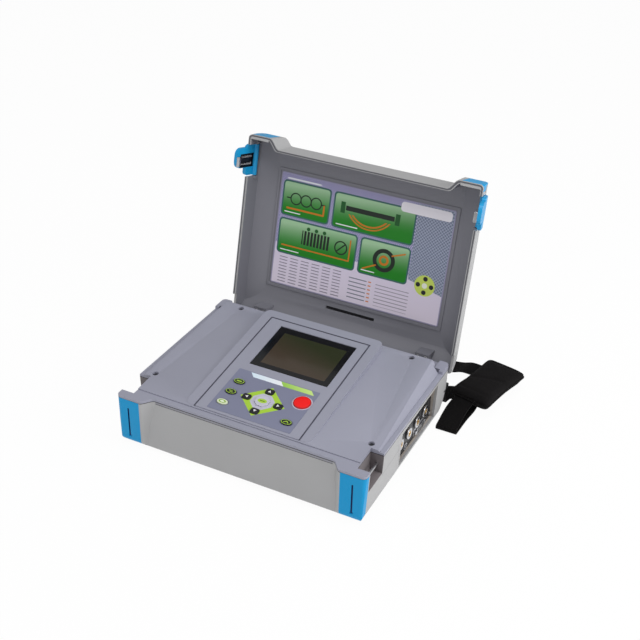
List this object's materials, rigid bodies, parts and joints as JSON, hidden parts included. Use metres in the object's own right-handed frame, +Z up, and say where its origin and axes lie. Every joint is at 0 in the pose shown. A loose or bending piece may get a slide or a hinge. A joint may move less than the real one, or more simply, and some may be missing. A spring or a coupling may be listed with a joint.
{
  "type": "micro ohmmeter",
  "caption": "Portable micro ohmmeter in a lidded grey carrying case with blue corner bumpers, a raised display and key console, side sockets and a shoulder strap.",
  "frame": {"origin": "centre of the flat underside of the lower case, 4 mm above the bench", "axes": "+X to the user's right, +Y towards the hinges at the rear, +Z up"},
  "size_m": [0.3761, 0.333, 0.2677],
  "materials": {
    "case_grey": "fine moulded texture, light grey",
    "bezel_grey": "fine moulded texture, light grey",
    "plate_grey": "satin violet grey",
    "trim_grey": "satin dark grey",
    "bumper_blue": "soft matt blue",
    "latch_blue": "satin blue",
    "steel": "bright",
    "dark_steel": "dark zinc",
    "window": "clear, gloss",
    "lcd": "grey green, dark",
    "overlay_grey": "satin grey film",
    "rubber_grey": "matt",
    "circuit_board": "solder resist",
    "key_red": "matt red",
    "key_white": "matt white",
    "key_dark": "matt black",
    "key_lime": "matt lime",
    "cell_wrap": "shrink wrap",
    "heat_sink": "dark anodised",
    "black_plastic": "black",
    "tray_grey": "beige grey",
    "contact_brass": "gold plated",
    "collar_chrome": "polished",
    "webbing": "black woven tape",
    "pad_cloth": "black woven sleeve",
    "label_print": "printed film",
    "gasket_grey": "matt dark grey"
  },
  "bodies": {
    "case": {"lower_case": "case_grey", "case_bezel": "bezel_grey", "front_trim_strip": "trim_grey", "faceplate": "plate_grey", "faceplate_screws": "dark_steel", "case_bumper_left": "bumper_blue", "case_bumper_right": "bumper_blue", "feet": "bumper_blue", "latch_keepers": "steel", "hinge_pins": "steel", "display_window": "window", "display_module": "lcd", "display_board": "circuit_board", "display_screws": "steel", "keypad_overlay": "overlay_grey", "keypad_mat": "rubber_grey", "keypad_board": "circuit_board", "keypad_screws": "steel", "main_board": "circuit_board", "board_screws": "steel", "battery_pack": "cell_wrap", "battery_clamp": "steel", "current_module": "heat_sink", "connector_tray": "tray_grey", "connector_panel": "black_plastic", "panel_screws": "steel", "socket_sleeves": "contact_brass", "socket_collars": "collar_chrome", "data_port": "steel", "charge_socket": "black_plastic", "strap_bars": "dark_steel", "strap_webbing_right": "webbing", "strap_webbing_left": "webbing", "strap_pad": "pad_cloth"},
    "lid": {"lid_shell": "case_grey", "lid_bumper_left": "bumper_blue", "lid_bumper_right": "bumper_blue", "lid_label": "label_print", "lid_gasket": "gasket_grey", "hinge_arm_left": "trim_grey", "hinge_arm_right": "trim_grey", "hinge_arm_screws": "steel", "latch_pins": "steel"},
    "left_latch": {"latch_left": "latch_blue", "latch_hook_left": "steel"},
    "right_latch": {"latch_right": "latch_blue", "latch_hook_right": "steel"},
    "start_key": {"start_key": "key_red"},
    "enter_key": {"enter_key": "key_white"},
    "up_key": {"up_key": "key_dark"},
    "down_key": {"down_key": "key_dark"},
    "left_key": {"left_key": "key_dark"},
    "right_key": {"right_key": "key_dark"},
    "rear_oval_key": {"rear_oval_key": "key_lime"},
    "middle_oval_key": {"middle_oval_key": "key_lime"},
    "front_oval_key": {"front_oval_key": "key_white"},
    "right_oval_key": {"right_oval_key": "key_lime"}
  },
  "joints": [
    {"name": "lid_hinge", "type": "hinge", "parent": "case", "child": "lid", "pos_m": [0, 0.1122, 0.046], "axis": [1, 0, 0], "range_deg": [0, 103]},
    {"name": "right_latch_pivot", "type": "hinge", "parent": "lid", "child": "right_latch", "pos_m": [0.1466, 0.18804, 0.2278], "axis": [0, 0.225, 0.9744], "range_deg": [-10, 25], "stiffness_Nm_per_rad": 0.06},
    {"name": "left_latch_pivot", "type": "hinge", "parent": "lid", "child": "left_latch", "pos_m": [-0.1466, 0.18804, 0.2278], "axis": [0, -0.225, -0.9744], "range_deg": [-10, 25], "stiffness_Nm_per_rad": 0.06},
    {"name": "start_key_press", "type": "slide", "parent": "case", "child": "start_key", "axis": [0, 0.1045, -0.9945], "range_m": [0, 0.0008], "stiffness_N_per_m": 900},
    {"name": "enter_key_press", "type": "slide", "parent": "case", "child": "enter_key", "axis": [0, 0.1045, -0.9945], "range_m": [0, 0.0008], "stiffness_N_per_m": 900},
    {"name": "up_key_press", "type": "slide", "parent": "case", "child": "up_key", "axis": [0, 0.1045, -0.9945], "range_m": [0, 0.0008], "stiffness_N_per_m": 900},
    {"name": "down_key_press", "type": "slide", "parent": "case", "child": "down_key", "axis": [0, 0.1045, -0.9945], "range_m": [0, 0.0008], "stiffness_N_per_m": 900},
    {"name": "left_key_press", "type": "slide", "parent": "case", "child": "left_key", "axis": [0, 0.1045, -0.9945], "range_m": [0, 0.0008], "stiffness_N_per_m": 900},
    {"name": "right_key_press", "type": "slide", "parent": "case", "child": "right_key", "axis": [0, 0.1045, -0.9945], "range_m": [0, 0.0008], "stiffness_N_per_m": 900},
    {"name": "rear_oval_key_press", "type": "slide", "parent": "case", "child": "rear_oval_key", "axis": [0, 0.1045, -0.9945], "range_m": [0, 0.0008], "stiffness_N_per_m": 900},
    {"name": "middle_oval_key_press", "type": "slide", "parent": "case", "child": "middle_oval_key", "axis": [0, 0.1045, -0.9945], "range_m": [0, 0.0008], "stiffness_N_per_m": 900},
    {"name": "front_oval_key_press", "type": "slide", "parent": "case", "child": "front_oval_key", "axis": [0, 0.1045, -0.9945], "range_m": [0, 0.0008], "stiffness_N_per_m": 900},
    {"name": "right_oval_key_press", "type": "slide", "parent": "case", "child": "right_oval_key", "axis": [0, 0.1045, -0.9945], "range_m": [0, 0.0008], "stiffness_N_per_m": 900}
  ]
}
